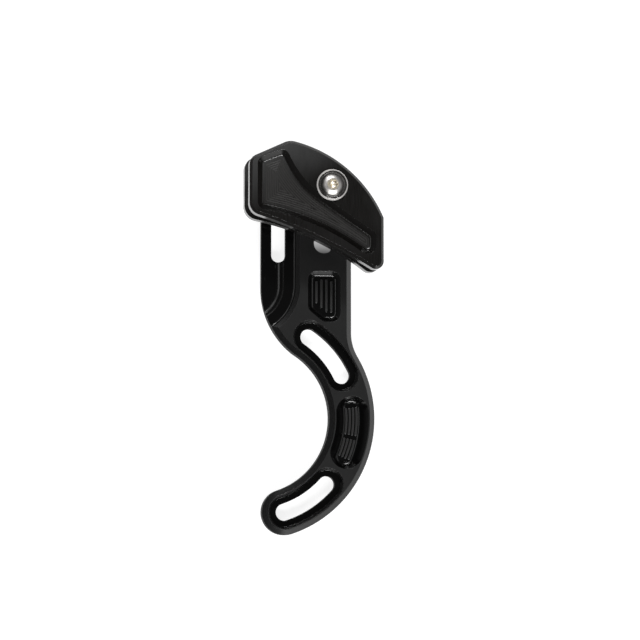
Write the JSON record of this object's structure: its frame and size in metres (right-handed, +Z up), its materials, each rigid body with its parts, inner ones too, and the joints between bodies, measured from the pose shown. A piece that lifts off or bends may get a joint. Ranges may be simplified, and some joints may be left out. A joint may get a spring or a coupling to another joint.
{
  "type": "bicycle chain guide",
  "caption": "Upper chain guide for a mountain bike crank: a black machined backplate with curved frame-bolt slots carries a two-sided cage that slides up and down to suit the chainring.",
  "frame": {"origin": "on the bottom bracket axis, in the plane of the frame's tabs, which is the backplate's back face", "axes": "+X forward, +Z up, -Y outboard towards the drive side; +Y points into the frame along the bottom bracket axis"},
  "size_m": [0.0517, 0.0282, 0.1476],
  "materials": {
    "black_anodised_aluminium": "fine satin, black anodised",
    "black_plastic": "machined satin with fine tool marks",
    "stainless_steel": "polished",
    "brass": "turned"
  },
  "bodies": {
    "plate": {"backplate": "black_anodised_aluminium"},
    "cage": {"inner_guide": "black_plastic", "outer_guide": "black_plastic", "guide_screw": "stainless_steel", "guide_insert": "brass", "height_insert": "brass", "height_bolt": "stainless_steel", "guide_dowels": "stainless_steel"}
  },
  "joints": [
    {"name": "height_slide", "type": "slide", "parent": "plate", "child": "cage", "axis": [0, 0, 1], "range_m": [-0.0175, 0]}
  ]
}
